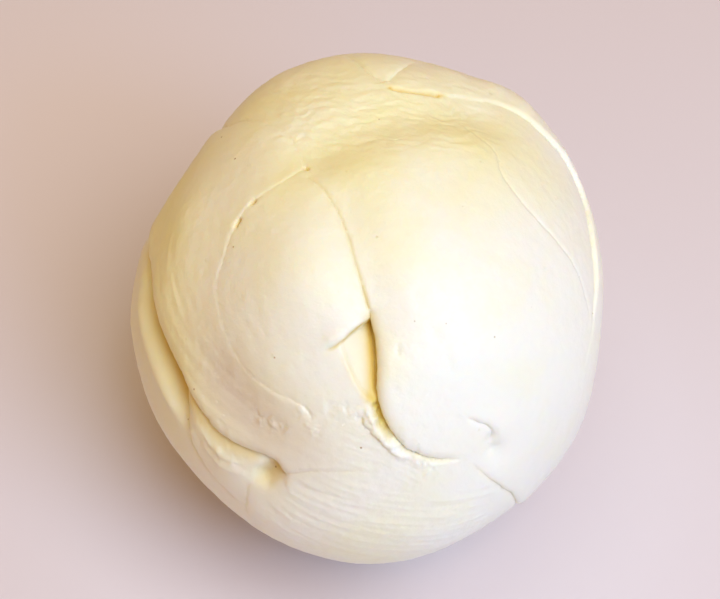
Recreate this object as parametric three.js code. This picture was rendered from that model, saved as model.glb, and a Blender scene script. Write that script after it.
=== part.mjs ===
// A ball of pulled-curd cheese. One long, wide ribbon of warm curd is stretched, wound and folded into a
// ball, and its turns fuse as it cools, so the ball is one solid with folds, lips and hollows in its skin.
// Millimetres, +Z up, origin under the middle of the ball on the flat spot that it rests on. Its face, where
// the last folds close, looks up and towards -Y.
import * as THREE from "three";
import { ConvexGeometry } from "three/addons/geometries/ConvexGeometry.js";
import { mergeVertices } from "three/addons/utils/BufferGeometryUtils.js";

// Driving dimensions
const halfWidth = 51.5; // along X, before the folds
const halfDepth = 57.5; // along Y
const halfHeight = 53.5; // along Z, before the ball sags onto its foot
const footDrop = 47; // from the ball's middle down to its resting face
const footBlend = 1.4; // how softly the side rolls into the resting face
const faceTilt = 50; // degrees that the face looks up
const skinPoints = 5200; // evenly spread over the ball, before those near a crease are left out
const skinGap = 2.7; // the nearest that an evenly spread point comes to a crease's own points
const creaseStep = 2.9; // between points along a crease

const millimetresPerRadian = (halfWidth + halfDepth + halfHeight) / 3;
const cheeseColour = 0xf4e6bd;

// Where things lie on the skin is given in degrees across and up from the middle of the face, as on a flat
// map of the ball. An entry marked back uses the same map, drawn from the middle of the far side.

// Broad lobes and hollows: the places of a line, how far it spreads, and how high it stands. A place's third
// number is its strength, which is 1 where it isn't given.
const swells = [
  { at: [[50, 75]], spread: 11, rise: 1.4 }, // right shoulder
  { at: [[62, 56]], spread: 12, rise: 1.3 },
  { at: [[47, 69]], spread: 7, rise: 1.1 }, // the ring's corner
  { at: [[44, -75]], spread: 14, rise: -3.3 }, // under the right lobe
  { at: [[24, -86]], spread: 12, rise: -3.6 }, // under the chin
  { at: [[-44, -70]], spread: 10, rise: -1.1 },
  { at: [[-22, -82]], spread: 16, rise: -1.3 },
  { at: [[-60, -64]], spread: 16, rise: -1.6 }, // under the crescent
  { at: [[-80, -40]], spread: 12, rise: 0.6 }, // outer crescent
  { at: [[-84, -4]], spread: 10, rise: 0.8 },
  { at: [[-75, 35]], spread: 8, rise: -1.4 },
  { at: [[-66, 60]], spread: 15, rise: -4.2 }, // left of the brow
  { at: [[88, -12]], spread: 12, rise: -3.0 }, // right flank
  { at: [[24, 2]], spread: 17, rise: 1.9 }, // right lobe
  { at: [[-16, 6]], spread: 11, rise: 2.1 }, // inner petal
  { at: [[-48, 24], [-50, 4], [-42, -14, 0.4]], spread: 8, rise: 1.2 }, // left band
  { at: [[-20, -52], [14, -54]], spread: 11, rise: 1.4 }, // chin lobe
  { at: [[-24, 66], [-4, 72]], spread: 11, rise: 1.6 }, // brow
  { at: [[-12, 38], [8, 49], [28, 54]], spread: 8, rise: -2.4 }, // dip under the brow
  { at: [[-6, 22], [-2, 6], [1, -4]], spread: 6, rise: -1.0 }, // dip along the middle seam
  { at: [[-64, 10, 0.3], [-61.9, 5.5, 0.7], [-56.3, -5.4], [-51.8, -12.8],
    [-48.4, -19.5, 0.9], [-46.6, -25, 0.4], [-45.6, -30, 0]], spread: 2.5, rise: -4.6 }, // valley
  { at: [[-70, 8, 0.2], [-66, -1], [-62, -9],
    [-56.6, -17.6], [-51.7, -24.5, 0.8], [-48, -30, 0]], spread: 2.2, rise: 1.2 }, // crescent's ridge
  { at: [[-21.8, -35.6], [-24, -37.5]], spread: 1.9, rise: -2.6 }, // pit
  { at: [[-34, -37]], spread: 5, rise: 0.9 }, // lower fold
  { at: [[-34, -14], [-25, -24]], spread: 7, rise: -1.0 }, // below the petal
  { at: [[26.6, -28.8], [27.2, -30.9]], spread: 1.5, rise: -0.9 },
  { at: [[37, 69]], spread: 4, rise: 0.9 }, // lumps on the ring
  { at: [[24, 72]], spread: 4, rise: 0.6 },
  { at: [[47, 63]], spread: 3, rise: 0.5 },
  { at: [[28.4, -32.6]], spread: 2.6, rise: -0.7 }, // beside the pinch
  { at: [[-30, 34], [0, 12]], back: true, spread: 14, rise: 1.4 },
  { at: [[40, 42], [62, 12]], back: true, spread: 13, rise: 1.3 },
  { at: [[-48, -22], [-12, -48]], back: true, spread: 12, rise: 1.5 },
  { at: [[38, -34]], back: true, spread: 12, rise: 1.2 },
];

// Seams: the skin on one side laps over the other. Points are [across, up, strength]. over is the side that
// laps, for someone walking the line on the ball. lip is how far it stands up, roll the radius of its edge,
// reach how far back it stays up, cut how deep the crease is and slope how far the low side rolls into it.
const seams = [
  { name: "middle seam", over: "right", lip: 0.25, roll: 0.7, reach: 7, cut: 0.45, slope: 1.0,
    fade: [1, 2], line: [[-15, 31.5, 0.2], [-10, 26, 0.6], [-5.5, 17, 0.8], [-3, 8.5, 1],
      [-1, 1.5, 1.4], [-0.1, -1.5, 1.4]] },
  { name: "right lobe's edge", over: "left", lip: 0.75, roll: 2.4, reach: 8, cut: 1.6, slope: 1.0,
    fade: [1.5, 5], line: [[-0.4, 0.5, 0.8], [-0.1, -2.2, 1], [0.8, -6.5, 1.1], [1.1, -11.2, 1.1],
      [1.1, -15.2, 1.1], [1.5, -18.8, 1], [2.7, -22.4, 0.95], [4.6, -26, 0.75], [7.3, -28.8, 0.65],
      [10.8, -30.8, 0.6], [15, -32, 0.45], [19.5, -32.2, 0.2], [22, -31.4, 0.05]] },
  { name: "petal's lip", over: "right", lip: 0.7, roll: 1.1, reach: 5, cut: 0.8, slope: 0.8,
    fade: [0.5, 2], line: [[-0.1, -1.3, 1], [-3.9, -4.3, 1], [-6.9, -6.8, 0.8], [-10, -8.6, 0.2]] },
  { name: "petal's left edge", over: "right", lip: 0.22, roll: 0.8, reach: 5, cut: 0.2, slope: 0.8,
    fade: [1, 3], line: [[-15.4, 33.5, 0.8], [-21, 29, 0.5], [-27.1, 24.8, 0.7], [-30.6, 20.2, 0.8],
      [-33.5, 12, 0.65], [-34.6, 4.5, 0.4], [-33.1, -2.2, 0.35], [-30.3, -8.7, 0.4],
      [-25.9, -13.8, 0.45], [-20.1, -17.3, 0.6], [-15.7, -18.9, 0.8], [-13.2, -20.4, 1],
      [-11.5, -24, 0.8]] },
  { name: "brow's left crease", over: "right", lip: 0.3, roll: 3.2, reach: 7, cut: 0.3, slope: 3.4,
    fade: [6, 1], line: [[-61, 74, 1.1], [-50.5, 60.5, 2.2], [-43, 54, 1.6], [-35, 51.8, 1],
      [-27.5, 48.6, 0.5], [-22, 44.8, 0.3], [-17.8, 39.2, 0.4], [-15.5, 34, 0.9]] },
  { name: "second band", over: "right", lip: 0.2, roll: 1.6, reach: 8, cut: 0.3, slope: 1.4,
    fade: [5, 4], line: [[22, 54, 0.3], [28, 45, 0.6], [31.5, 40, 0.8], [32, 33, 0.9], [37.5, 25, 1],
      [46, 18, 1], [53.5, 11, 1], [59.5, 1, 0.8], [61, -3.5, 0.5]] },
  { name: "ring", over: "left", lip: 0.9, roll: 0.8, reach: 11, cut: 0.3, slope: 2.2,
    fade: [2, 6], line: [[3, 59.2, 0.35], [8, 59, 0.35], [18.7, 60, 0.3], [28.1, 61.2, 0.2],
      [38, 61, 0.4], [45.5, 58.8, 0.95], [53.5, 54, 1], [63, 47, 1], [68.7, 36.6, 1], [67.7, 22, 1],
      [66, 9.5, 0.9], [63.5, 1, 0.7], [61, -8, 0.2]] },
  { name: "ring's left fold", over: "left", lip: 0.4, roll: 3.6, reach: 5, cut: 0.5, slope: 3.6,
    fade: [3, 1], line: [[-8, 76, 0.4], [-5.2, 70.8, 0.7], [-1.3, 65.4, 1], [3.6, 60.2, 1]] },
  { name: "ring's right fold", over: "right", lip: 0.4, roll: 3.4, reach: 5, cut: 0.5, slope: 3.2,
    fade: [3, 1], line: [[14, 76, 0.4], [10.5, 70.4, 0.7], [7.7, 66, 1], [4.8, 60.8, 1]] },
  { name: "right lobe's tail", over: "left", lip: 0.5, roll: 1.4, reach: 8, cut: 0.4, slope: 1.5,
    fade: [2, 8], line: [[21.5, -33, 0.4], [25.6, -37.4, 0.8], [30.9, -42.2, 1], [36, -47, 1.1],
      [40.5, -53.5, 1.3], [50, -66, 1], [60, -82, 1]] },
  { name: "pinch", over: "left", lip: 0.6, roll: 1.5, reach: 3, cut: 0.55, slope: 1.6,
    fade: [2.5, 2.5], line: [[19.5, -22.4, 0.5], [22.6, -23.8, 1], [25.6, -25.4, 1], [27, -27.8, 1],
      [26, -30, 0.8]] },
  { name: "left band's foot", over: "left", lip: 0.8, roll: 2.4, reach: 6, cut: 2.0, slope: 2.6,
    fade: [2, 1.5], line: [[-46.5, -15.5, 0.8], [-43.6, -19.6, 1], [-39.7, -24.4, 1],
      [-34.1, -29.4, 1.1], [-27.3, -31.8, 1.1], [-23.1, -32.9, 1.4], [-20.9, -34.2, 1.5],
      [-19.6, -37, 0.9]] },
  { name: "left band's edge", over: "left", lip: 0.8, roll: 3.4, reach: 8, cut: 3.0, slope: 4.5,
    fade: [8, 2], line: [[-84, 34, 0.5], [-73, 24, 0.8], [-65.6, 14, 0.8], [-60.4, 4, 1],
      [-55.3, -5.3, 1.1], [-50.8, -11.4, 1.2], [-46.2, -16.8, 1]] },
  { name: "lower fold's edge", over: "left", lip: 1.0, roll: 2.2, reach: 7, cut: 1.0, slope: 3,
    fade: [1, 8], line: [[-46.3, -17, 1.2], [-46, -23, 1.1], [-46, -28, 1], [-45, -34.5, 0.8],
      [-42, -40, 0.6], [-36, -46, 0.4], [-28, -51, 0.2]] },
  { name: "lower fold's crease", over: "left", lip: 0.15, roll: 3.4, reach: 5, cut: 0.08, slope: 3.4,
    fade: [3, 6], line: [[-26.5, -37, 1], [-28.6, -41.5, 1], [-30.5, -48, 0.8], [-33, -55, 0.5]] },
  { name: "chin crease", over: "left", lip: 0.12, roll: 1.2, reach: 4, cut: 0.25, slope: 1.2,
    fade: [1, 8], line: [[-19.6, -36, 1.4], [-15, -34.8, 1], [-10.8, -34.1, 0.8], [-2.3, -34, 0.5],
      [5, -35.2, 0.3]] },
  { name: "second chin crease", over: "left", lip: 0.1, roll: 1.6, reach: 4, cut: 0.14, slope: 1.6,
    fade: [5, 10], line: [[-19.2, -37.4, 0.6], [-14.5, -38.6, 0.8], [-6, -40.6, 0.6], [6, -42.2, 0.4],
      [18, -43, 0.3]] },
  { name: "long back wrap", back: true, over: "left", lip: 1.5, roll: 2.2, reach: 11, cut: 0.9, slope: 4,
    fade: [8, 8], line: [[-70, 78, 0.9], [-55, 50, 1], [-35, 25, 1], [-5, 5, 0.9], [25, -15, 1],
      [48, -40, 1], [58, -74, 0.9]] },
  { name: "upper back wrap", back: true, over: "left", lip: 1.3, roll: 2, reach: 10, cut: 0.9, slope: 4,
    fade: [9, 9], line: [[-36, 70, 0.8], [-22, 48, 1], [10, 26, 0.9], [40, 10, 1], [70, -6, 1],
      [94, -12, 0.6]] },
  { name: "lower back wrap", back: true, over: "left", lip: 1.4, roll: 2.2, reach: 10, cut: 1, slope: 4,
    fade: [8, 8], line: [[-88, 30, 0.8], [-72, 12, 1], [-48, -8, 1], [-18, -26, 0.9], [14, -48, 1],
      [32, -72, 0.8]] },
  { name: "tucked end", back: true, over: "right", lip: 1.3, roll: 1.6, reach: 7, cut: 1.2, slope: 3,
    fade: [3, 4], line: [[22, 44, 0.5], [36, 36, 1], [46, 24, 1], [50, 12, 0.6]] },
];

// The eye, a small three-cornered well that the last folds leave open. Its sides are walked with the well on
// the left, and its floor falls away from the left edge.
const eye = {
  wall: [[1.5, -19.5], [1.2, -15.6], [1.2, -11.2], [0.9, -6.5], [-0.1, -1]],
  lip: [[0.6, -0.7], [-0.1, -1.4], [-3.9, -4.3], [-7, -6.9], [-8, -7.8]],
  edge: [[-7.3, -6], [-6.6, -7.2], [-4.9, -11.5], [-3.1, -15.2], [-0.9, -18], [1.2, -19.4]],
  step: 0.5,
  fall: 0.42,
  reach: 14,
};

const tilt = THREE.MathUtils.degToRad(faceTilt);
const faceUp = new THREE.Vector3(0, Math.sin(tilt), Math.cos(tilt));
const faceOut = new THREE.Vector3(0, -Math.cos(tilt), Math.sin(tilt));

// The direction from the ball's middle to a place on its skin.
function skinDirection([across, up], back = false) {
  const away = Math.hypot(across, up);
  const share = Math.sin(THREE.MathUtils.degToRad(away)) / Math.max(away, 1e-9);
  return new THREE.Vector3(across * share, 0, 0)
    .addScaledVector(faceUp, up * share)
    .addScaledVector(faceOut, Math.cos(THREE.MathUtils.degToRad(away)) * (back ? -1 : 1));
}

// A line on the skin as closely spaced stations, each with its direction, tangent, left side and run in mm.
function stationsAlong(points, back) {
  const places = points.map((point) => skinDirection(point, back));
  if (places.length === 1) return [{ place: places[0], run: 0, strength: points[0][2] ?? 1 }];
  const curve = new THREE.CatmullRomCurve3(places);
  const steps = 12 * (places.length - 1);
  const stations = [];
  for (let i = 0; i <= steps; i++) {
    const along = (i / steps) * (points.length - 1);
    const before = Math.min(Math.floor(along), points.length - 2);
    const strength = THREE.MathUtils.lerp(points[before][2] ?? 1, points[before + 1][2] ?? 1, along - before);
    stations.push({ place: curve.getPoint(i / steps).normalize(), strength, run: 0 });
  }
  stations.forEach((station, i) => {
    const behind = stations[Math.max(i - 1, 0)];
    const ahead = stations[Math.min(i + 1, steps)];
    station.tangent = ahead.place.clone().sub(behind.place).normalize();
    station.left = station.place.clone().cross(station.tangent).normalize();
    if (i) station.run = behind.run + station.place.distanceTo(behind.place) * millimetresPerRadian;
  });
  return stations;
}

// How a direction lies to a line: the nearest station, how far to its left, and how far past its ends.
function nearestTo(stations, direction) {
  let station = stations[0];
  let closest = -2;
  for (const candidate of stations) {
    const closeness = candidate.place.dot(direction);
    if (closeness > closest) [closest, station] = [closeness, candidate];
  }
  const offset = direction.clone().sub(station.place).multiplyScalar(millimetresPerRadian);
  if (!station.tangent) return { station, left: 0, past: offset.length() };
  const end = station === stations[0] || station === stations[stations.length - 1];
  return { station, left: offset.dot(station.left), past: end ? Math.abs(offset.dot(station.tangent)) : 0 };
}

const bell = (distance, width) => Math.exp(-((distance / width) ** 2));

function swellHeight(swell, direction) {
  const { station, left, past } = nearestTo(swell.stations, direction);
  return swell.rise * station.strength * bell(Math.hypot(left, past), swell.spread);
}

function fading(seam, station, start, end) {
  const length = seam.stations[seam.stations.length - 1].run;
  const rise = THREE.MathUtils.smoothstep(station.run, 0, start);
  return rise * THREE.MathUtils.smoothstep(length - station.run, 0, end);
}

function seamStrength(seam, station) {
  return station.strength * fading(seam, station, ...seam.fade);
}

// How strongly a seam's lip stands up beside a place. It fades over a longer run than the crease does, and is
// blended along the seam so that it changes smoothly across the skin.
function lipStrength(seam, direction) {
  const sharpness = 2 * (millimetresPerRadian / Math.max(2.5, 0.6 * seam.reach)) ** 2;
  const closeness = seam.stations.map((station) => station.place.dot(direction));
  const closest = Math.max(...closeness);
  let total = 0;
  let strength = 0;
  seam.stations.forEach((station, i) => {
    const weight = Math.exp(sharpness * (closeness[i] - closest));
    const fade = fading(seam, station, 1.2 * seam.reach, 1.2 * seam.reach);
    total += weight;
    strength += weight * fade * seamStrength(seam, station);
  });
  return strength / total;
}

// The skin's height at a distance from a seam: a quarter-round edge on each side, down to the crease.
function seamHeight(seam, direction) {
  const { station, left, past } = nearestTo(seam.stations, direction);
  const side = seam.over === "left" ? left : -left;
  const distance = Math.hypot(left, past);
  const radius = side > 0 ? seam.roll : seam.slope;
  const top = side > 0 ? lipStrength(seam, direction) * seam.lip * bell(distance, seam.reach) : 0;
  const shoulder = Math.sqrt(1 - (1 - Math.min(distance / radius, 1)) ** 2);
  return top - (top + seamStrength(seam, station) * seam.cut) * (1 - shoulder);
}

// How deep the eye's floor lies below the skin around it.
function eyeDepth(direction) {
  const [wall, lip, edge] = ["wall", "lip", "edge"].map((name) => {
    const { station, left } = nearestTo(eye[name].stations, direction);
    return station.place.distanceTo(direction) * millimetresPerRadian < eye.reach ? left : -1;
  });
  const depth = eye.step + eye.fall * THREE.MathUtils.clamp(edge, 0, 8);
  const { smoothstep } = THREE.MathUtils;
  return depth * smoothstep(edge, 0, 1) * smoothstep(lip, 0, 0.5) * smoothstep(wall, 0, 0.5);
}

// Where the skin gets its points: rows along every crease and its two shoulders, so that each crease is an
// edge of the skin, then an even spiral over what is left.
function skinPlaces() {
  const places = [];
  const add = (place, gap) => {
    const least = gap / millimetresPerRadian;
    if (places.every((other) => other.distanceTo(place) > least)) places.push(place);
  };
  for (const share of [0, 0.3, 1]) {
    for (const seam of seams) {
      const leftRadius = seam.over === "left" ? seam.roll : seam.slope;
      const rightRadius = seam.over === "left" ? seam.slope : seam.roll;
      let next = 0;
      for (const station of seam.stations) {
        if (station.run < next) continue;
        next += creaseStep;
        if (seamStrength(seam, station) < 0.15) continue;
        for (const offset of share ? [leftRadius * share, -rightRadius * share] : [0]) {
          const shift = station.left.clone().multiplyScalar(offset / millimetresPerRadian);
          add(shift.add(station.place).normalize(), share ? 0.55 : 1.4);
        }
      }
    }
  }
  for (const offset of [0, 1.2]) {
    for (const station of eye.edge.stations) {
      const shift = station.left.clone().multiplyScalar(offset / millimetresPerRadian);
      add(shift.add(station.place).normalize(), 1.1);
    }
  }
  const turn = Math.PI * (3 - Math.sqrt(5));
  for (let i = 0; i < skinPoints; i++) {
    const z = 1 - (2 * i + 1) / skinPoints;
    const across = Math.sqrt(1 - z * z);
    add(new THREE.Vector3(across * Math.cos(i * turn), across * Math.sin(i * turn), z), skinGap);
  }
  return places;
}

// The ball's plain radius in a direction, then its foot: below the resting plane the skin lies on it.
function plainRadius(direction) {
  return 1 / Math.hypot(direction.x / halfWidth, direction.y / halfDepth, direction.z / halfHeight);
}

function settle(point) {
  const above = point.z + footDrop;
  const blend = Math.max(footBlend - Math.abs(above), 0) / footBlend;
  point.z = Math.max(above, 0) + (blend ** 2 * footBlend) / 4 - footDrop;
}

function cheeseSkin() {
  const ball = new ConvexGeometry(skinPlaces());
  ball.deleteAttribute("normal");
  const skin = mergeVertices(ball, 1e-5);
  const position = skin.attributes.position;
  const direction = new THREE.Vector3();
  for (let i = 0; i < position.count; i++) {
    direction.fromBufferAttribute(position, i).normalize();
    const swellSum = swells.reduce((sum, swell) => sum + swellHeight(swell, direction), 0);
    const seamSum = seams.reduce((sum, seam) => sum + seamHeight(seam, direction), 0);
    const radius = plainRadius(direction) + swellSum + seamSum - eyeDepth(direction);
    const point = direction.clone().multiplyScalar(radius);
    settle(point);
    position.setXYZ(i, point.x, point.y, point.z);
  }
  skin.computeBoundingBox();
  const middle = skin.boundingBox.getCenter(new THREE.Vector3());
  skin.translate(-middle.x, -middle.y, -skin.boundingBox.min.z);
  skin.computeVertexNormals();
  return skin;
}

[...swells, ...seams].forEach((entry) => {
  entry.stations = stationsAlong(entry.at ?? entry.line, entry.back);
});
["wall", "lip", "edge"].forEach((name) => {
  eye[name] = { stations: stationsAlong(eye[name]) };
});

const cheese = new THREE.Mesh(
  cheeseSkin(),
  new THREE.MeshStandardMaterial({ color: cheeseColour, roughness: 0.5, metalness: 0 }),
);
cheese.name = "cheese_ball";

const part = new THREE.Group();
part.add(cheese);

export default part;
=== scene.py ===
import math
import bpy
import numpy as np
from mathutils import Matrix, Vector


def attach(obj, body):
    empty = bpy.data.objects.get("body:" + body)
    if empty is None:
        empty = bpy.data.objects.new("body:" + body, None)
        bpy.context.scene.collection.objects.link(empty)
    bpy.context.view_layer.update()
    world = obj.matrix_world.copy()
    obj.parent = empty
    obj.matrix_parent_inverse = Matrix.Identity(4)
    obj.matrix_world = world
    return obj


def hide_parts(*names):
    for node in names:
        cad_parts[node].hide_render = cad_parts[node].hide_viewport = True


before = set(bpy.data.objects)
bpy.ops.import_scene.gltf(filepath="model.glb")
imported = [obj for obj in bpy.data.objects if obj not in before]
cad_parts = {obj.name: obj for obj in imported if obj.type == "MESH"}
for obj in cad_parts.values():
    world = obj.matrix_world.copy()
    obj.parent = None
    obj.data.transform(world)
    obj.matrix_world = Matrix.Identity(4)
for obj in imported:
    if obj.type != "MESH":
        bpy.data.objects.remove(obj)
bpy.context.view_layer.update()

# Everything about the skin's shape is in mm and degrees, and becomes metres when the mesh is made.
metre = 0.001

ballShape = {
    "halfSizes": (51.5, 57.5, 53.5),  # before the folds
    "footDrop": 47,  # from the ball's middle down to what it rests on
    "footBlend": 1.4,
    "faceTilt": 50,  # the side where the last folds close looks up this much
    "subdivisions": 9,
    "triangles": 190000,
}
mmPerRadian = sum(ballShape["halfSizes"]) / 3
pointsAtATime = 40000  # skin points that are placed against a line together, to save memory

# Places on the skin are degrees across and up from the middle of the face, as on a flat map of the ball.
# An entry marked back uses the same map, drawn from the middle of the far side.

# Broad lobes and hollows: a line of places, how far it spreads, and how high it stands. A place's third
# number is its strength, which is 1 where it isn't given.
swells = [
    {"at": [(50, 75)], "spread": 11, "rise": 1.4},  # right shoulder
    {"at": [(62, 56)], "spread": 12, "rise": 1.3},
    {"at": [(47, 69)], "spread": 7, "rise": 1.1},  # the ring's corner
    {"at": [(44, -75)], "spread": 14, "rise": -3.3},  # under the right lobe
    {"at": [(24, -86)], "spread": 12, "rise": -3.6},  # under the chin
    {"at": [(-44, -70)], "spread": 10, "rise": -1.1},
    {"at": [(-22, -82)], "spread": 16, "rise": -1.3},
    {"at": [(-60, -64)], "spread": 16, "rise": -1.6},  # under the crescent
    {"at": [(-80, -40)], "spread": 12, "rise": 0.6},  # outer crescent
    {"at": [(-84, -4)], "spread": 10, "rise": 0.8},
    {"at": [(-75, 35)], "spread": 8, "rise": -1.4},
    {"at": [(-66, 60)], "spread": 15, "rise": -4.2},  # left of the brow
    {"at": [(88, -12)], "spread": 12, "rise": -3.0},  # right flank
    {"at": [(24, 2)], "spread": 17, "rise": 1.9},  # right lobe
    {"at": [(-16, 6)], "spread": 11, "rise": 2.1},  # inner petal
    {"at": [(-48, 24), (-50, 4), (-42, -14, 0.4)], "spread": 8, "rise": 1.2},  # left band
    {"at": [(-20, -52), (14, -54)], "spread": 11, "rise": 1.4},  # chin lobe
    {"at": [(-24, 66), (-4, 72)], "spread": 11, "rise": 1.6},  # brow
    {"at": [(-12, 38), (8, 49), (28, 54)], "spread": 8, "rise": -2.4},  # dip under the brow
    {"at": [(-6, 22), (-2, 6), (1, -4)], "spread": 6, "rise": -1.0},  # dip along the middle seam
    {"at": [(-64, 10, 0.3), (-61.9, 5.5, 0.7), (-56.3, -5.4), (-51.8, -12.8), (-48.4, -19.5, 0.9),
            (-46.6, -25, 0.4), (-45.6, -30, 0)], "spread": 2.5, "rise": -4.6},  # valley
    {"at": [(-70, 8, 0.2), (-66, -1), (-62, -9), (-56.6, -17.6), (-51.7, -24.5, 0.8), (-48, -30, 0)],
     "spread": 2.2, "rise": 1.2},  # crescent's ridge
    {"at": [(-21.8, -35.6), (-24, -37.5)], "spread": 1.9, "rise": -2.6},  # pit
    {"at": [(1.1, -19.4), (2.1, -22.5), (3.8, -25.6, 0.7)], "spread": 0.8, "rise": -1.8},  # gap under the eye
    {"at": [(-34, -37)], "spread": 5, "rise": 0.9},  # lower fold
    {"at": [(-34, -14), (-25, -24)], "spread": 7, "rise": -1.0},  # below the petal
    {"at": [(-41.5, -27.5, 0.5), (-37, -31.8), (-32, -34.7, 0.6)], "spread": 1.0, "rise": 0.6},  # its ridges
    {"at": [(-39.5, -33, 0.5), (-35, -36), (-29.5, -37.5, 0.7)], "spread": 1.0, "rise": 0.5},
    {"at": [(-8.2, -5.6), (-6.6, -5.2, 0.6)], "spread": 1.1, "rise": 0.35},  # petal's corner
    {"at": [(5.5, -7), (5.3, -8.3)], "spread": 0.6, "rise": -0.25},  # small dents on the right lobe
    {"at": [(12, -3.6), (13.2, -5.4)], "spread": 0.9, "rise": -0.16},
    {"at": [(15.3, -9.8), (16.2, -11.8)], "spread": 0.9, "rise": -0.14},
    {"at": [(9, 3), (9.8, 0.8)], "spread": 0.9, "rise": -0.12},
    {"at": [(26.6, -28.8), (27.2, -30.9)], "spread": 1.5, "rise": -0.9},
    {"at": [(-1.2, -19.9, 0.6), (0.1, -22.6), (1.9, -25.6), (4.4, -28.6, 0.8), (7, -30.8, 0.3)],
     "spread": 0.8, "rise": 0.6},  # torn strand under the eye
    {"at": [(37, 69)], "spread": 4, "rise": 0.9},  # lumps on the ring
    {"at": [(24, 72)], "spread": 4, "rise": 0.6},
    {"at": [(47, 63)], "spread": 3, "rise": 0.5},
    {"at": [(28.4, -32.6)], "spread": 2.6, "rise": -0.7},  # beside the pinch
    {"at": [(-30, 34), (0, 12)], "back": True, "spread": 14, "rise": 1.4},
    {"at": [(40, 42), (62, 12)], "back": True, "spread": 13, "rise": 1.3},
    {"at": [(-48, -22), (-12, -48)], "back": True, "spread": 12, "rise": 1.5},
    {"at": [(38, -34)], "back": True, "spread": 12, "rise": 1.2},
]

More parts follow.
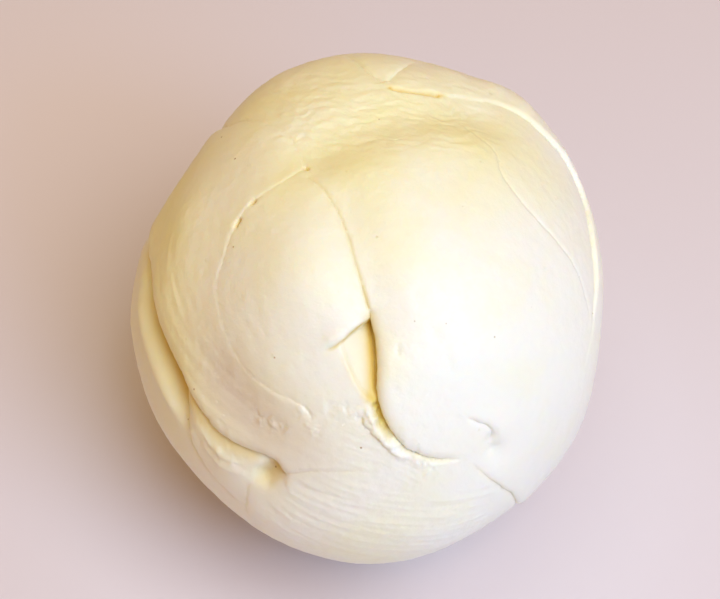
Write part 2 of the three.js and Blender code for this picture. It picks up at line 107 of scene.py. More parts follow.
# Seams, where the skin on one side laps over the other. Places are (across, up, strength); over is the side
# that laps, for someone walking the line on the ball; lip is how far it stands up, roll the radius of its
# edge, reach how far back it stays up, cut how deep the crease is, slope how far the low side rolls into it,
# and tuck the degrees that the lip overhangs. Each seam's amber strength is how much painted shade darkens
# its crease line.
seams = [
    {"name": "middle seam", "over": "right", "lip": 0.25, "roll": 0.7, "reach": 7, "cut": 0.45,
     "slope": 1.0, "tuck": 25, "shadeAmber": 0.5, "fade": (1, 2),
     "line": [(-15, 31.5, 0.2), (-10, 26, 0.6), (-5.5, 17, 0.8), (-3, 8.5, 1), (-1, 1.5, 1.4),
              (-0.1, -1.5, 1.4)]},
    {"name": "right lobe's edge", "over": "left", "lip": 0.75, "roll": 2.4, "reach": 8, "cut": 1.6,
     "slope": 1.0, "tuck": 32, "shadeAmber": 0.65, "fade": (1.5, 5),
     "line": [(-0.4, 0.5, 0.8), (-0.1, -2.2, 1), (0.8, -6.5, 1.1), (1.1, -11.2, 1.1), (1.1, -15.2, 1.1),
              (1.5, -18.8, 1), (2.7, -22.4, 0.95), (4.6, -26, 0.75), (7.3, -28.8, 0.65), (10.8, -30.8, 0.6),
              (15, -32, 0.45), (19.5, -32.2, 0.2), (22, -31.4, 0.05)]},
    {"name": "petal's lip", "over": "right", "lip": 0.7, "roll": 1.1, "reach": 5, "cut": 0.8, "slope": 0.8,
     "tuck": 15, "shadeAmber": 0.9, "fade": (0.5, 2),
     "line": [(-0.1, -1.3, 1), (-3.9, -4.3, 1), (-6.9, -6.8, 0.8), (-10, -8.6, 0.2)]},
    {"name": "petal's left edge", "over": "right", "lip": 0.22, "roll": 0.8, "reach": 5, "cut": 0.2,
     "slope": 0.8, "tuck": 10, "shadeAmber": 0.06, "fade": (1, 3), "wobble": 0.15,
     "line": [(-15.4, 33.5, 0.7), (-21, 29, 0.45), (-27.1, 24.8, 0.6), (-30.6, 20.2, 0.65),
              (-33.5, 12, 0.5), (-34.6, 4.5, 0.3), (-33.1, -2.2, 0.27), (-30.3, -8.7, 0.32),
              (-25.9, -13.8, 0.4), (-20.1, -17.3, 0.55), (-15.7, -18.9, 0.8), (-13.2, -20.4, 1),
              (-11.5, -24, 0.8)]},
    {"name": "brow's left crease", "over": "right", "lip": 0.3, "roll": 3.2, "reach": 7, "cut": 0.3,
     "slope": 3.4, "tuck": 0, "shadeAmber": 0.1, "fade": (6, 1),
     "line": [(-61, 74, 1.1), (-50.5, 60.5, 2.2), (-43, 54, 1.6), (-35, 51.8, 1), (-27.5, 48.6, 0.5),
              (-22, 44.8, 0.3), (-17.8, 39.2, 0.4), (-15.5, 34, 0.9)]},
    {"name": "second band", "over": "right", "lip": 0.2, "roll": 1.6, "reach": 8, "cut": 0.3, "slope": 1.4,
     "tuck": 0, "shadeAmber": 0.05, "fade": (5, 4),
     "line": [(22, 54, 0.3), (28, 45, 0.6), (31.5, 40, 0.8), (32, 33, 0.9), (37.5, 25, 1), (46, 18, 1),
              (53.5, 11, 1), (59.5, 1, 0.8), (61, -3.5, 0.5)]},
    {"name": "ring", "over": "left", "lip": 0.9, "roll": 0.8, "reach": 11, "cut": 0.3, "slope": 2.2,
     "tuck": 20, "shadeAmber": 0.15, "fade": (2, 6),
     "line": [(3, 59.2, 0.35), (8, 59, 0.35), (18.7, 60, 0.3), (28.1, 61.2, 0.2), (38, 61, 0.4),
              (45.5, 58.8, 0.95), (53.5, 54, 1), (63, 47, 1), (68.7, 36.6, 1), (67.7, 22, 1),
              (66, 9.5, 0.9), (63.5, 1, 0.7), (61, -8, 0.2)]},
    {"name": "ring's left fold", "over": "left", "lip": 0.4, "roll": 3.6, "reach": 5, "cut": 0.5,
     "slope": 3.6, "tuck": 0, "shadeAmber": 0, "fade": (3, 1),
     "line": [(-8, 76, 0.4), (-5.2, 70.8, 0.7), (-1.3, 65.4, 1), (3.6, 60.2, 1)]},
    {"name": "ring's right fold", "over": "right", "lip": 0.4, "roll": 3.4, "reach": 5, "cut": 0.5,
     "slope": 3.2, "tuck": 0, "shadeAmber": 0, "fade": (3, 1),
     "line": [(14, 76, 0.4), (10.5, 70.4, 0.7), (7.7, 66, 1), (4.8, 60.8, 1)]},
    {"name": "right lobe's tail", "over": "left", "lip": 0.5, "roll": 1.4, "reach": 8, "cut": 0.4,
     "slope": 1.5, "tuck": 15, "shadeAmber": 0.15, "fade": (2, 8),
     "line": [(21.5, -33, 0.4), (25.6, -37.4, 0.8), (30.9, -42.2, 1), (36, -47, 1.1), (40.5, -53.5, 1.3),
              (50, -66, 1), (60, -82, 1)]},
    {"name": "torn crease", "over": "left", "lip": 0.2, "roll": 0.8, "reach": 2, "cut": 0.15, "slope": 0.9,
     "tuck": 10, "shadeAmber": 0.08, "fade": (1.5, 2), "wobble": 0.35,
     "line": [(-2.3, -21.2, 0.6), (-1.2, -23, 1), (0.1, -24.8, 1.1), (1.9, -27, 1), (3.9, -29.2, 0.9),
              (6.2, -31.2, 0.6)]},
    {"name": "pinch", "over": "left", "lip": 0.6, "roll": 1.5, "reach": 3, "cut": 0.55, "slope": 1.6,
     "tuck": 0, "shadeAmber": 0, "fade": (2.5, 2.5),
     "line": [(19.5, -22.4, 0.5), (22.6, -23.8, 1), (25.6, -25.4, 1), (27, -27.8, 1), (26, -30, 0.8)]},
    {"name": "left band's foot", "over": "left", "lip": 0.8, "roll": 2.4, "reach": 6, "cut": 2.0,
     "slope": 2.6, "tuck": 45, "shadeAmber": 0.5, "fade": (2, 1.5),
     "line": [(-46.5, -15.5, 0.8), (-43.6, -19.6, 1), (-39.7, -24.4, 1), (-34.1, -29.4, 1.1),
              (-27.3, -31.8, 1.1), (-23.1, -32.9, 1.4), (-20.9, -34.2, 1.5), (-19.6, -37, 0.9)]},
    {"name": "left band's edge", "over": "left", "lip": 0.8, "roll": 3.4, "reach": 8, "cut": 3.0,
     "slope": 4.5, "tuck": 35, "shadeAmber": 1.2, "fade": (8, 2),
     "line": [(-84, 34, 0.5), (-73, 24, 0.8), (-65.6, 14, 0.8), (-60.4, 4, 1), (-55.3, -5.3, 1.1),
              (-50.8, -11.4, 1.2), (-46.2, -16.8, 1)]},
    {"name": "lower fold's edge", "over": "left", "lip": 1.0, "roll": 2.2, "reach": 7, "cut": 1.0,
     "slope": 3, "tuck": 20, "shadeAmber": 0.2, "fade": (1, 8),
     "line": [(-46.3, -17, 1.2), (-46, -23, 1.1), (-46, -28, 1), (-45, -34.5, 0.8), (-42, -40, 0.6),
              (-36, -46, 0.4), (-28, -51, 0.2)]},
    {"name": "lower fold's crease", "over": "left", "lip": 0.15, "roll": 3.4, "reach": 5, "cut": 0.08,
     "slope": 3.4, "tuck": 0, "shadeAmber": 0, "fade": (3, 6),
     "line": [(-26.5, -37, 1), (-28.6, -41.5, 1), (-30.5, -48, 0.8), (-33, -55, 0.5)]},
    {"name": "chin crease", "over": "left", "lip": 0.12, "roll": 1.2, "reach": 4, "cut": 0.25, "slope": 1.2,
     "tuck": 0, "shadeAmber": 0.1, "fade": (1, 8),
     "line": [(-19.6, -36, 1.4), (-15, -34.8, 1), (-10.8, -34.1, 0.8), (-2.3, -34, 0.5), (5, -35.2, 0.3)]},
    {"name": "second chin crease", "over": "left", "lip": 0.1, "roll": 1.6, "reach": 4, "cut": 0.14,
     "slope": 1.6, "tuck": 0, "shadeAmber": 0.05, "fade": (5, 10),
     "line": [(-19.2, -37.4, 0.6), (-14.5, -38.6, 0.8), (-6, -40.6, 0.6), (6, -42.2, 0.4), (18, -43, 0.3)]},
    {"name": "long back wrap", "back": True, "over": "left", "lip": 1.5, "roll": 2.2, "reach": 11,
     "cut": 0.9, "slope": 4, "tuck": 15, "shadeAmber": 0.3, "fade": (8, 8),
     "line": [(-70, 78, 0.9), (-55, 50, 1), (-35, 25, 1), (-5, 5, 0.9), (25, -15, 1), (48, -40, 1),
              (58, -74, 0.9)]},
    {"name": "upper back wrap", "back": True, "over": "left", "lip": 1.3, "roll": 2, "reach": 10,
     "cut": 0.9, "slope": 4, "tuck": 15, "shadeAmber": 0.3, "fade": (9, 9),
     "line": [(-36, 70, 0.8), (-22, 48, 1), (10, 26, 0.9), (40, 10, 1), (70, -6, 1), (94, -12, 0.6)]},
    {"name": "lower back wrap", "back": True, "over": "left", "lip": 1.4, "roll": 2.2, "reach": 10,
     "cut": 1, "slope": 4, "tuck": 15, "shadeAmber": 0.3, "fade": (8, 8),
     "line": [(-88, 30, 0.8), (-72, 12, 1), (-48, -8, 1), (-18, -26, 0.9), (14, -48, 1), (32, -72, 0.8)]},
    {"name": "tucked end", "back": True, "over": "right", "lip": 1.3, "roll": 1.6, "reach": 7, "cut": 1.2,
     "slope": 3, "tuck": 20, "shadeAmber": 0.4, "fade": (3, 4),
     "line": [(22, 44, 0.5), (36, 36, 1), (46, 24, 1), (50, 12, 0.6)]},
]

# The eye: a small three-cornered well that the last folds leave open. Its sides are walked with the well on
# the left, and its floor falls away from the left edge.
eye = {
    "wall": [(1.5, -19.5), (1.2, -15.6), (1.2, -11.2), (0.9, -6.5), (-0.1, -1)],
    "lip": [(0.6, -0.7), (-0.1, -1.4), (-3.9, -4.3), (-7, -6.9), (-8, -7.8)],
    "edge": [(-7.3, -6), (-6.6, -7.2), (-4.9, -11.5), (-3.1, -15.2), (-0.9, -18), (1.2, -19.4)],
    "step": 0.5,
    "fall": 0.42,
    "reach": 14,  # how far from its sides its floor can be
    # The next two numbers are painted shade in the eye: darker just inside its sides, and darker with each mm
    # of depth.
    "rimShade": 0.2,  # how much deeper in colour it is just inside its sides
    "floorShade": 0.06,  # and how much more for each mm of depth
}

# Strands: bundles of fine ridges that follow the pull of the curd. width is half of the bundle's width, and
# pitch and length are the size of one ridge.
strands = [
    {"line": [(-21, -38), (-8, -44), (10, -48), (34, -50)], "width": 9, "height": 0.28, "pitch": 1.3,
     "length": 14},
    {"line": [(-30, -46), (-14, -58), (6, -64), (26, -64)], "width": 9, "height": 0.26, "pitch": 1.6,
     "length": 16},
    {"line": [(-53, 32), (-56, 14), (-50, -4), (-36, -20), (-20, -29)], "width": 10, "height": 0.18,
     "pitch": 1.7, "length": 16},
    {"line": [(-41, -24), (-36.5, -31), (-34, -38)], "width": 6, "height": 0.4, "pitch": 1.8, "length": 5},
    {"line": [(-10, -26), (4, -31), (16, -38)], "width": 5, "height": 0.2, "pitch": 1.0, "length": 7},
    {"line": [(-26, 22), (-24, 6), (-16, -10)], "width": 8, "height": 0.07, "pitch": 2.2, "length": 12},
    {"line": [(10, 16), (18, -4), (26, -22)], "width": 12, "height": 0.06, "pitch": 2.6, "length": 12},
]

# Torn patches, where the skin is rough and flaky, and small gaps beside the petal's edge.
tornPatches = [
    {"at": [(-8.5, -20.2), (-4, -20.8), (-0.5, -21)], "spread": 1.8, "rise": 0.8},
    {"at": [(0.5, -22.5), (4, -26), (8, -29.3), (12, -33)], "spread": 2.4, "rise": 1.0},
    {"at": [(-25, -23.7), (-19, -25)], "spread": 1.5, "rise": 0.9},
    {"at": [(-14, -21), (-11.5, -25)], "spread": 1.5, "rise": 0.9},
    {"at": [(5.5, -5), (5.5, -9)], "spread": 1.2, "rise": 0.25},
    {"at": [(-38, -32), (-31, -35.5)], "spread": 2.6, "rise": 0.35},
]
# The gaps' depth also gets painted amber shade in the colour.
gaps = [
    {"at": [(-26.8, 25.0), (-27.6, 24.4)], "spread": 0.4, "rise": -0.9},
    {"at": [(-30.3, 20.7), (-31.0, 19.4)], "spread": 0.42, "rise": -1.0},
    {"at": [(-15.5, 33.8), (-15.2, 33.3)], "spread": 0.4, "rise": -0.8},
    {"at": [(6, 59), (12, 59.1), (18.5, 59.9)], "spread": 0.4, "rise": -1.1},
]

# Painted shade: amber darkening in the folds, slits, pit and eye, where light doesn't reach.
foldShadePatches = [
    {"at": [(-60.9, 4.5), (-56.3, -5.4), (-51.5, -13.2), (-47.2, -20.5)], "spread": 2.3, "rise": 1.3},
    {"at": [(-43.6, -21.5), (-38.5, -27.4), (-33, -31), (-27, -32.6)], "spread": 1.3, "rise": 0.5},
    {"at": [(-21.8, -35.6), (-24.5, -38)], "spread": 2.2, "rise": 0.55},
    {"at": [(-73, 24), (-66, 14)], "spread": 1.6, "rise": 0.35},
    {"at": [(5.4, 58.9), (12, 59), (18.5, 59.8), (22, 60.3, 0)], "spread": 0.6, "rise": 1.2},
    {"at": [(1.0, -19.2), (2.0, -22.5), (3.7, -25.5, 0.6)], "spread": 0.9, "rise": 1.1},
    {"at": [(-0.2, -2), (0.4, -6), (0.5, -12), (0.4, -17.5)], "spread": 1.5, "rise": 0.85},
    {"at": [(-6.2, -7.6, 0.4), (-4.6, -11.5), (-2.8, -15.2), (-0.7, -18)], "spread": 0.5, "rise": 0.35},
]

# Yellower places: partly butterfat, partly a painted warm tint of the light on the brow and the left band.
fatAndWarmLightPatches = [
    {"at": [(-30, 58), (0, 58), (30, 52)], "spread": 24, "rise": 0.6},
    {"at": [(-16, 34), (4, 42), (24, 44)], "spread": 9, "rise": 0.35},
    {"at": [(-22, 22), (-19, 12)], "spread": 9, "rise": 0.25},
    {"at": [(-1, 28), (3, 14)], "spread": 8, "rise": 0.4},
    {"at": [(-60, 32), (-54, 8), (-42, -12), (-33, -20, 0.7)], "spread": 11, "rise": 0.9},
    {"at": [(-74, 4), (-60, -30)], "spread": 12, "rise": 0.4},
    {"at": [(3, -5), (4, -12)], "spread": 4, "rise": 0.3},
    {"at": [(0, -60)], "spread": 12, "rise": 0.3},
]

# Painted shade: greyer places on the lower left band, where its surface turns away from the light.
paintedShadePatches = [
    {"at": [(-38, -6, 0.5), (-33, -15), (-27, -22), (-16, -29, 0.7)], "spread": 8, "rise": 1.0},
]

tilt = math.radians(ballShape["faceTilt"])
faceUp = np.array((0, math.sin(tilt), math.cos(tilt)))
faceOut = np.array((0, -math.cos(tilt), math.sin(tilt)))


def skinDirection(across, up, back=False):
    away = math.hypot(across, up)
    share = math.sin(math.radians(away)) / max(away, 1e-9)
    out = math.cos(math.radians(away)) * (-1 if back else 1)
    return np.array((across * share, 0, 0)) + faceUp * up * share + faceOut * out


def stationsAlong(places, back=False, perSpan=24):
    # A smooth line through the places, as stations with a direction, a left side, a run in mm and a strength.
    points = np.array([skinDirection(place[0], place[1], back) for place in places])
    strengths = [place[2] if len(place) > 2 else 1 for place in places]
    if len(points) == 1:
        return {"place": points, "left": None, "ahead": None, "run": np.zeros(1), "strength": np.ones(1)}
    ends = [2 * points[0] - points[1], *points, 2 * points[-1] - points[-2]]
    line = []
    for before, start, end, after in zip(ends, ends[1:], ends[2:], ends[3:]):
        stepIn = math.sqrt(np.linalg.norm(start - before))
        step = math.sqrt(np.linalg.norm(end - start))
        stepOut = math.sqrt(np.linalg.norm(after - end))
        leave = (start - before) / stepIn - (end - before) / (stepIn + step) + (end - start) / step
        arrive = (end - start) / step - (after - start) / (step + stepOut) + (after - end) / stepOut
        t = np.arange(perSpan)[:, None] / perSpan
        line.append(start * (2 * t**3 - 3 * t**2 + 1) + end * (3 * t**2 - 2 * t**3)
                    + leave * step * (t**3 - 2 * t**2 + t) + arrive * step * (t**3 - t**2))
    place = np.vstack([*line, points[-1:]])
    place /= np.linalg.norm(place, axis=1)[:, None]
    ahead = np.vstack([place[1:2] - place[:1], place[2:] - place[:-2], place[-1:] - place[-2:-1]])
    ahead /= np.linalg.norm(ahead, axis=1)[:, None]
    left = np.cross(place, ahead)
    steps = np.linalg.norm(np.diff(place, axis=0), axis=1) * mmPerRadian
    strength = np.interp(np.arange(len(place)) / perSpan, np.arange(len(places)), strengths)
    run = np.append(0, np.cumsum(steps))
    return {"place": place, "left": left, "ahead": ahead, "run": run, "strength": strength}


def nearestOn(stations, directions, within):
    # The skin points within a distance of a line: which they are, their nearest station, and where they lie.
    found = []
    nearest = []
    for start in range(0, len(directions), pointsAtATime):
        closeness = directions[start:start + pointsAtATime] @ stations["place"].T
        station = closeness.argmax(1)
        near = np.nonzero(closeness[np.arange(len(station)), station] > math.cos(within / mmPerRadian))[0]
        found.append(near + start)
        nearest.append(station[near])
    found = np.concatenate(found)
    nearest = np.concatenate(nearest)
    offset = (directions[found] - stations["place"][nearest]) * mmPerRadian
    if stations["left"] is None:
        return found, nearest, np.zeros(len(found)), np.linalg.norm(offset, axis=1)
    left = np.einsum("ij,ij->i", offset, stations["left"][nearest])
    atEnd = (nearest == 0) | (nearest == len(stations["place"]) - 1)
    past = np.where(atEnd, np.abs(np.einsum("ij,ij->i", offset, stations["ahead"][nearest])), 0)
    return found, nearest, left, past


def softAlong(stations, values, directions, width):
    # The values along a line, blended over a width in mm so that they change smoothly across the skin.
    places = stations["place"][::6]
    sharpness = 2 * (mmPerRadian / width)**2
    blended = np.empty(len(directions))
    for start in range(0, len(directions), pointsAtATime):
        closeness = directions[start:start + pointsAtATime] @ places.T
        weights = np.exp(sharpness * (closeness - closeness.max(1)[:, None]))
        blended[start:start + pointsAtATime] = weights @ values[::6] / weights.sum(1)
    return blended


def smoothStep(value, start, end):
    t = np.clip((value - start) / (end - start), 0, 1)
    return t * t * (3 - 2 * t)


def wander(run, seed):
    # A slow, uneven swing between about -1 and 1 along a run in mm.
    slow = np.sin(run * 0.9 + seed) + np.sin(run * 0.37 + 2.1 * seed)
    return (slow + 0.7 * np.sin(run * 2.3 + 3.7 * seed)) / 2.4


def swellHeights(directions, chosen):
    heights = np.zeros(len(directions))
    for swell in chosen:
        stations = stationsAlong(swell["at"], swell.get("back", False))
        found, nearest, left, past = nearestOn(stations, directions, swell["spread"] * 3)
        share = stations["strength"][nearest] * np.exp(-(left**2 + past**2) / swell["spread"]**2)
        heights[found] += swell["rise"] * share
    return heights


def foldSkin(directions):
    # How far each seam lifts or lowers the skin, how far it slides it sideways, and how much painted shade
    # darkens its crease line.
    heights = np.zeros(len(directions))
    slides = np.zeros((len(directions), 3))
    creaseShades = np.zeros(len(directions))
    for seam in seams:
        stations = stationsAlong(seam["line"], seam.get("back", False))
        run = stations["run"]
        fadeIn, fadeOut = seam["fade"]
        force = stations["strength"] * smoothStep(run, 0, fadeIn) * smoothStep(run[-1] - run, 0, fadeOut)
        lipFade = 1.2 * seam["reach"]
        broad = force * smoothStep(run, 0, lipFade) * smoothStep(run[-1] - run, 0, lipFade)
        found, nearest, left, past = nearestOn(stations, directions, seam["reach"] * 3)
        force = force[nearest]
        left = left + seam.get("wobble", 0.12) * wander(run[nearest], len(seam["line"]))
        side = left if seam["over"] == "left" else -left
        toHigh = stations["left"][nearest] * (1 if seam["over"] == "left" else -1)
        distance = np.hypot(left, past)
        high = side > 0
        tuck = math.radians(seam["tuck"]) * np.minimum(force, 1)
        top = np.zeros(len(found))
        raised = softAlong(stations, broad, directions[found[high]], max(2.5, 0.6 * seam["reach"]))
        top[high] = raised * seam["lip"] * np.exp(-(distance[high] / seam["reach"])**2)

        # The high side rolls over a round edge that overhangs the crease, and the low side rolls into it.
        share = np.minimum(distance / seam["roll"], 1)
        turn = share * (math.pi / 2 + tuck) - tuck
        edge = (np.sin(turn) + np.sin(tuck)) / (1 + np.sin(tuck))
        slide = seam["roll"] * (1 - np.cos(turn) - share)
        under = seam["roll"] * (1 - np.cos(tuck))
        lowShare = np.minimum(distance / seam["slope"], 1)
        lowEdge = np.sqrt(1 - (1 - lowShare)**2)
        edge = np.where(high, edge, lowEdge)
        slide = np.where(high, slide, under * (1 - lowShare)**2)
        heights[found] += top - (top + force * seam["cut"]) * (1 - edge)
        slides[found] += toHigh * (slide * np.minimum(force, 1))[:, None]
        # Painted shade: amber darkening along the crease line.
        creaseShades[found] = np.maximum(creaseShades[found], force * seam["shadeAmber"] * np.exp(-(distance / 0.5)**2))
    return heights, slides, creaseShades


def eyeDepths(directions):
    # How deep the eye's floor lies, in mm, for the skin points over it.
    inside = {}
    for side in ("wall", "lip", "edge"):
        inside[side] = np.full(len(directions), -1.0)
        found, nearest, left, past = nearestOn(stationsAlong(eye[side]), directions, eye["reach"])
        inside[side][found] = left
    fall = eye["step"] + eye["fall"] * np.clip(inside["edge"], 0, 8)
    return (fall * smoothStep(inside["edge"], 0, 1) * smoothStep(inside["lip"], 0, 0.5)
            * smoothStep(inside["wall"], 0, 0.5))


def strandCoordinates(directions):
    # Where each skin point lies in its bundle of strands, for the relief and the colour to follow.
    along = np.zeros(len(directions))
    across = np.zeros(len(directions))
    height = np.zeros(len(directions))
    for number, strand in enumerate(strands):
        stations = stationsAlong(strand["line"])
        found, nearest, left, past = nearestOn(stations, directions, strand["width"] * 2)
        run = stations["run"][nearest]
        fade = smoothStep(run, 0, 6) * smoothStep(stations["run"][-1] - run, 0, 6)
        mask = strand["height"] * np.exp(-(left / strand["width"])**4) * fade
        stronger = mask > height[found]
        chosen = found[stronger]
        along[chosen] = run[stronger] / strand["length"] + 40 * number
        across[chosen] = left[stronger] / strand["pitch"]
        height[chosen] = mask[stronger]
    return along, across, height


def settle(points):
    # The ball sags onto its foot: what would hang below lies on the resting plane.
    above = points[:, 2] + ballShape["footDrop"]
    blend = np.maximum(ballShape["footBlend"] - np.abs(above), 0) / ballShape["footBlend"]
    points[:, 2] = np.maximum(above, 0) + blend**2 * ballShape["footBlend"] / 4 - ballShape["footDrop"]


def addAttribute(mesh, name, values):
    mesh.attributes.new(name, "FLOAT", "POINT").data.foreach_set("value", values.astype(np.float32))


def makeSkin():
    bpy.ops.mesh.primitive_ico_sphere_add(subdivisions=ballShape["subdivisions"], radius=1)
    piece = bpy.context.object
    piece.name = "cheese"
    mesh = piece.data
    directions = np.empty(len(mesh.vertices) * 3)
    mesh.vertices.foreach_get("co", directions)
    directions = directions.reshape(-1, 3)
    directions /= np.linalg.norm(directions, axis=1)[:, None]
    print("skin points:", len(directions))

    radius = 1 / np.linalg.norm(directions / ballShape["halfSizes"], axis=1)
    heights, slides, creaseShades = foldSkin(directions)
    wells = eyeDepths(directions)
    holes = swellHeights(directions, gaps)
    radius += swellHeights(directions, swells) + heights + holes - wells
    points = directions * radius[:, None] + slides
    settle(points)
    middle = (points.min(0) + points.max(0)) / 2
    middle[2] = -ballShape["footDrop"]
    points = (points - middle) * metre
    mesh.vertices.foreach_set("co", points.ravel())
    # Painted shade: amber along the seams, in the small gaps, in the eye and in the folds.
    addAttribute(mesh, "crease", np.maximum(creaseShades, -holes))
    addAttribute(mesh, "torn", swellHeights(directions, tornPatches))
    eyeShade = eye["rimShade"] * np.minimum(wells, 1) + eye["floorShade"] * wells
    addAttribute(mesh, "foldShade", eyeShade + swellHeights(directions, foldShadePatches))
    # Partly butterfat, partly a painted warm tint of light.
    addAttribute(mesh, "fatAndWarmLight", swellHeights(directions, fatAndWarmLightPatches))
    # Painted shade on the lower left band.
    addAttribute(mesh, "paintedShade", swellHeights(directions, paintedShadePatches))
    along, across, height = strandCoordinates(directions)
    addAttribute(mesh, "along", along)
    addAttribute(mesh, "across", across)
    addAttribute(mesh, "strand", height)
    up = directions @ faceUp
    onBrow = smoothStep(up, 0.54, 0.66) * smoothStep(0.96 - up, 0, 0.14)
    onBrow *= smoothStep(0.6 - np.abs(directions[:, 0] - 0.02), 0, 0.3)
    addAttribute(mesh, "wrinkle", onBrow * (directions @ faceOut > 0))
    mesh.update()
    return piece, -middle * metre


def addNode(tree, kind, inputs=None, **settings):
    # Adds a node, with each named input set to a value or linked to another node's output.
    node = tree.nodes.new(kind)
    for name, value in settings.items():
        setattr(node, name, value)
    for name, value in (inputs or {}).items():
        if isinstance(value, bpy.types.NodeSocket):
            tree.links.new(value, node.inputs[name])
        else:
            node.inputs[name].default_value = value
    return node


def calculate(tree, operation, first, second=0.0):
    return addNode(tree, "ShaderNodeMath", {0: first, 1: second}, operation=operation).outputs[0]


def noiseAt(tree, place, scale, detail=2.0, distortion=0.0, roughness=0.5):
    # Noise between about -0.5 and 0.5.
    noise = addNode(tree, "ShaderNodeTexNoise", {"Vector": place, "Scale": scale, "Detail": detail,
                                                 "Distortion": distortion, "Roughness": roughness})
    return calculate(tree, "SUBTRACT", noise.outputs[0], 0.5)


relief = {
    "Roll Height": 0.0005,  # soft unevenness from the hands
    "Roll Scale": 70.0,
    "Skin Height": 0.0003,
    "Skin Scale": 480.0,
    "Wrinkle Height": 0.0006,
    "Wrinkle Scale": 960.0,  # wrinkles per metre up the brow
    "Wrinkle Length": 240.0,  # and across it
    "Wrinkle Bend": 0.008,
    "Flake Height": 0.0016,
    "Flake Scale": 520.0,
    "Strand Height": 0.0022,  # for each mm that a bundle of strands asks for
}


def readAttribute(tree, name):
    node = addNode(tree, "GeometryNodeInputNamedAttribute", {"Name": name}, data_type="FLOAT")
    return node.outputs["Attribute"]


def reliefTree():
    tree = bpy.data.node_groups.new("skinRelief", "GeometryNodeTree")
    tree.interface.new_socket("Geometry", in_out="INPUT", socket_type="NodeSocketGeometry")
    for name in relief:
        tree.interface.new_socket(name, in_out="INPUT", socket_type="NodeSocketFloat")
    tree.interface.new_socket("Material", in_out="INPUT", socket_type="NodeSocketMaterial")
    tree.interface.new_socket("Geometry", in_out="OUTPUT", socket_type="NodeSocketGeometry")
    given = addNode(tree, "NodeGroupInput").outputs
    place = addNode(tree, "GeometryNodeInputPosition").outputs[0]

    # Hands leave soft, broad unevenness, and the skin itself is slightly rough.
    roll = calculate(tree, "MULTIPLY", noiseAt(tree, place, given["Roll Scale"], 1.0), given["Roll Height"])
    skin = calculate(tree, "MULTIPLY", noiseAt(tree, place, given["Skin Scale"], 2.0), given["Skin Height"])

    # Wrinkles run across the brow: the pattern is stretched sideways.
    upward = addNode(tree, "ShaderNodeVectorMath", {0: place, 1: tuple(faceUp)}, operation="DOT_PRODUCT")
    apart = addNode(tree, "ShaderNodeSeparateXYZ", {0: place}).outputs
    bent = calculate(tree, "MULTIPLY", noiseAt(tree, place, 110.0, 2.0), given["Wrinkle Bend"])
    rows = calculate(tree, "ADD", upward.outputs["Value"], bent)
    rows = calculate(tree, "MULTIPLY", rows, given["Wrinkle Scale"])
    columns = calculate(tree, "MULTIPLY", apart["X"], given["Wrinkle Length"])
    onBrow = addNode(tree, "ShaderNodeCombineXYZ", {0: columns, 1: rows, 2: 0.0}).outputs[0]
    wrinkle = noiseAt(tree, onBrow, 1.0, 1.5)
    wrinkle = calculate(tree, "MULTIPLY", wrinkle, readAttribute(tree, "wrinkle"))
    wrinkle = calculate(tree, "MULTIPLY", wrinkle, given["Wrinkle Height"])

    # Strands follow their own bundle.
    inBundle = addNode(tree, "ShaderNodeCombineXYZ",
                       {0: readAttribute(tree, "along"), 1: readAttribute(tree, "across"), 2: 0.0}).outputs[0]
    strand = noiseAt(tree, inBundle, 1.0, 2.0)
    strand = calculate(tree, "MULTIPLY", strand, readAttribute(tree, "strand"))
    strand = calculate(tree, "MULTIPLY", strand, given["Strand Height"])

    # Torn skin stands up in small flakes.
    flakes = noiseAt(tree, place, given["Flake Scale"], 2.5, 0.8)
    flakes = calculate(tree, "MULTIPLY", calculate(tree, "MULTIPLY", flakes, readAttribute(tree, "torn")),
                       given["Flake Height"])

    lift = calculate(tree, "ADD", calculate(tree, "ADD", roll, skin), calculate(tree, "ADD", wrinkle, strand))
    lift = calculate(tree, "ADD", lift, flakes)

    # The relief fades out in the last 4 mm above the foot.
    low = calculate(tree, "SMOOTH_MIN", 1.0, calculate(tree, "MULTIPLY", apart["Z"], 250.0))
    lift = calculate(tree, "MULTIPLY", lift, low)
    normal = addNode(tree, "GeometryNodeInputNormal").outputs[0]
    offset = addNode(tree, "ShaderNodeVectorMath", {0: normal, "Scale": lift}, operation="SCALE").outputs[0]
    moved = addNode(tree, "GeometryNodeSetPosition", {"Geometry": given["Geometry"], "Offset": offset})
    real = addNode(tree, "GeometryNodeRealizeInstances", {"Geometry": moved.outputs[0]}).outputs[0]
    coated = addNode(tree, "GeometryNodeSetMaterial", {"Geometry": real, "Material": given["Material"]})
    addNode(tree, "NodeGroupOutput", {"Geometry": coated.outputs[0]})
    return tree


def finishSkin(piece, material):
    # Adds the fine relief, then thins the triangles where the skin is smooth.
    tree = reliefTree()
    modifier = piece.modifiers.new("skinRelief", "NODES")
    modifier.node_group = tree
    values = {**relief, "Material": material}
    for socket in tree.interface.items_tree:
        if socket.in_out == "INPUT" and socket.name in values:
            modifier[socket.identifier] = values[socket.name]
    fewer = piece.modifiers.new("fewer", "DECIMATE")
    fewer.ratio = min(1, ballShape["triangles"] / len(piece.data.polygons))
    evaluated = piece.evaluated_get(bpy.context.evaluated_depsgraph_get())
    made = bpy.data.meshes.new_from_object(evaluated)
    piece.modifiers.clear()
    piece.data = made
    made.polygons.foreach_set("use_smooth", np.ones(len(made.polygons), bool))
    print("skin triangles:", len(made.polygons))


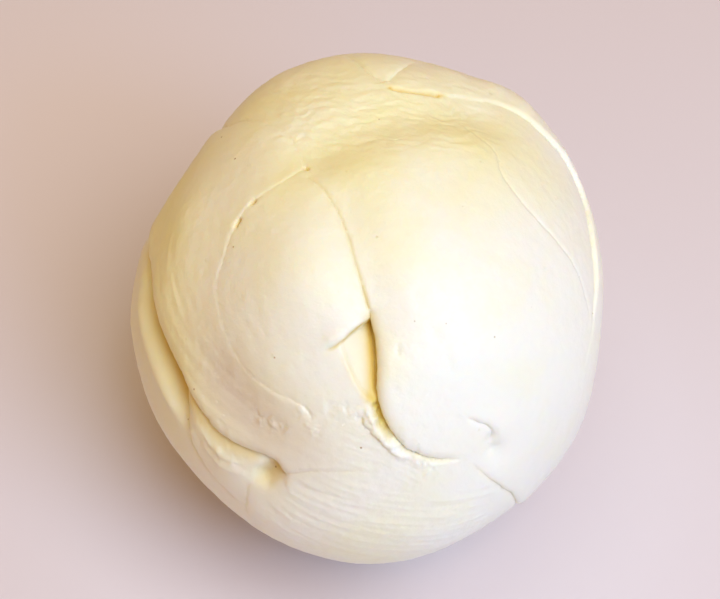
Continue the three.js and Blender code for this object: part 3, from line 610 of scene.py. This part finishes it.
curdLook = {
    "milk": (0.92, 0.93, 0.765, 1),
    # This yellow is partly butterfat and partly a painted warm tint of light.
    "butterAndWarmLight": (0.92, 0.88, 0.45, 1),
    # This greyer colour is painted shade.
    "paintedShade": (0.78, 0.71, 0.54, 1),
    # This amber colour is painted shade for the creases, gaps, folds and eye.
    "shadeAmber": (0.79, 0.62, 0.17, 1),
    "pore": (0.5, 0.37, 0.18, 1),
    "patchScale": 60.0,
    "poreScale": 115.0,
    "fineScale": 1400.0,  # the moist skin's finest grain
    "roughness": 0.45,
    "glow": 0.6,  # how much of the light goes in and comes out again
    "glowSpread": (1.0, 0.8, 0.5),
    "depth": 0.0014,
}


def curdMaterial():
    material = bpy.data.materials.new("curd")
    material.use_nodes = True
    tree = material.node_tree
    shader = tree.nodes["Principled BSDF"]
    place = addNode(tree, "ShaderNodeTexCoord").outputs["Object"]

    # Butterfat and a painted warm tint of light make yellower patches, painted shade greys the lower left
    # band, and painted amber shade darkens the creases, gaps, folds and eye.
    patches = noiseAt(tree, place, curdLook["patchScale"], 4.0, 0.6)
    # Partly butterfat mottling, partly a painted warm tint of light on the top and left.
    fatAndWarmLight = addNode(tree, "ShaderNodeAttribute", attribute_name="fatAndWarmLight").outputs["Fac"]
    fatAndWarmLight = calculate(tree, "ADD", fatAndWarmLight, calculate(tree, "MULTIPLY", patches, 0.9))
    fatAndWarmLight = addNode(tree, "ShaderNodeMapRange", {"Value": fatAndWarmLight, "From Min": 0.0, "From Max": 1.0}).outputs[0]
    curd = addNode(tree, "ShaderNodeMix", {"A": curdLook["milk"], "B": curdLook["butterAndWarmLight"], "Factor": fatAndWarmLight},
                   data_type="RGBA").outputs["Result"]
    # Painted shade: greyer on the lower left band.
    paintedShade = addNode(tree, "ShaderNodeAttribute", attribute_name="paintedShade").outputs["Fac"]
    curd = addNode(tree, "ShaderNodeMix", {"A": curd, "B": curdLook["paintedShade"], "Factor": paintedShade},
                   data_type="RGBA").outputs["Result"]
    # Painted shade: amber in the creases, gaps, folds and the eye.
    crease = addNode(tree, "ShaderNodeAttribute", attribute_name="crease").outputs["Fac"]
    foldShade = addNode(tree, "ShaderNodeAttribute", attribute_name="foldShade").outputs["Fac"]
    foldShading = calculate(tree, "MAXIMUM", crease, foldShade)
    curd = addNode(tree, "ShaderNodeMix", {"A": curd, "B": curdLook["shadeAmber"], "Factor": foldShading},
                   data_type="RGBA").outputs["Result"]

    # A few pores are filled with something brown.
    cells = addNode(tree, "ShaderNodeTexVoronoi", {"Vector": place, "Scale": curdLook["poreScale"]})
    pores = addNode(tree, "ShaderNodeMapRange",
                    {"Value": cells.outputs["Distance"], "From Min": 0.034, "From Max": 0.016}).outputs[0]
    curd = addNode(tree, "ShaderNodeMix", {"A": curd, "B": curdLook["pore"], "Factor": pores},
                   data_type="RGBA").outputs["Result"]
    tree.links.new(curd, shader.inputs["Base Color"])
    shader.inputs["Roughness"].default_value = curdLook["roughness"]
    shader.inputs["Subsurface Weight"].default_value = curdLook["glow"]
    shader.inputs["Subsurface Radius"].default_value = curdLook["glowSpread"]
    shader.inputs["Subsurface Scale"].default_value = curdLook["depth"]
    fine = noiseAt(tree, place, curdLook["fineScale"], 3.0)
    bump = addNode(tree, "ShaderNodeBump", {"Height": fine, "Strength": 0.25, "Distance": 0.0002}).outputs[0]
    tree.links.new(bump, shader.inputs["Normal"])
    return material


print("folding the skin")
cheese, ballMiddle = makeSkin()
print("adding the relief")
finishSkin(cheese, curdMaterial())
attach(cheese, "root")
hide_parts("cheese_ball")

# Floor, light and camera
stageLook = {
    "floor": (0.76, 0.72, 0.74, 1),
    "air": (1.0, 0.49, 0.05, 1),
    "airStrength": 0.43,
    "lightDistance": 1.2,
    "lightSize": 0.8,
    "lightAim": 0.05,  # the height that the lights point at
    "lights": {  # azimuth and elevation in degrees, power in watts, and colour
        "key": (40, 55, 8.5, (0.95, 0.92, 1.0)),
        "cool": (40, 25, 6.6, (0.03, 0.4, 1.0)),
        "top": (0, 88, 3.6, (0.66, 0.86, 1.0)),
    },
}


def makeFloor():
    bpy.ops.mesh.primitive_plane_add(size=6, location=(0, 0, 0))
    floor = bpy.context.object
    floor.name = "floor"
    material = bpy.data.materials.new("paleFloor")
    material.use_nodes = True
    shader = material.node_tree.nodes["Principled BSDF"]
    shader.inputs["Base Color"].default_value = stageLook["floor"]
    shader.inputs["Roughness"].default_value = 0.9
    floor.data.materials.append(material)


def makeLight(name, azimuth, elevation, power, colour):
    # Azimuth is 0 on the viewer's side of the ball and 90 on its right.
    turn = math.radians(azimuth)
    lift = math.radians(elevation)
    away = Vector((math.sin(turn) * math.cos(lift), -math.cos(turn) * math.cos(lift), math.sin(lift)))
    light = bpy.data.lights.new(name, "AREA")
    light.shape = "DISK"
    light.size = stageLook["lightSize"]
    light.energy = power
    light.color = colour
    lamp = bpy.data.objects.new(name, light)
    lamp.location = away * stageLook["lightDistance"] + Vector((0, 0, stageLook["lightAim"]))
    lamp.rotation_euler = away.to_track_quat("Z", "Y").to_euler()
    bpy.context.scene.collection.objects.link(lamp)


def makeAir():
    world = bpy.data.worlds.new("air")
    world.use_nodes = True
    background = world.node_tree.nodes["Background"]
    background.inputs["Color"].default_value = stageLook["air"]
    background.inputs["Strength"].default_value = stageLook["airStrength"]
    bpy.context.scene.world = world


cameraView = {
    "elevation": 50,
    "distance": 0.45,
    "width": 0.1584,  # what the view takes in at the ball's middle
    "aim": (0.0022, -0.0021),  # how far right and up of the view's middle the ball's middle is
}


def makeCamera():
    lift = math.radians(cameraView["elevation"])
    back = Vector((0, -math.cos(lift), math.sin(lift)))
    up = Vector((0, math.sin(lift), math.cos(lift)))
    camera = bpy.data.cameras.new("camera")
    camera.sensor_width = 36
    camera.lens = camera.sensor_width * cameraView["distance"] / cameraView["width"]
    camera.clip_start = 0.01
    holder = bpy.data.objects.new("camera", camera)
    middle = Vector(ballMiddle)
    holder.location = middle + back * cameraView["distance"]
    holder.location -= Vector((1, 0, 0)) * cameraView["aim"][0] + up * cameraView["aim"][1]
    holder.rotation_euler = back.to_track_quat("Z", "Y").to_euler()
    bpy.context.scene.collection.objects.link(holder)
    bpy.context.scene.camera = holder


makeFloor()
for lightName, lightSetting in stageLook["lights"].items():
    makeLight(lightName, *lightSetting)
makeCamera()
makeAir()
bpy.context.scene.view_settings.view_transform = "Standard"
print("floor, light and camera are set")
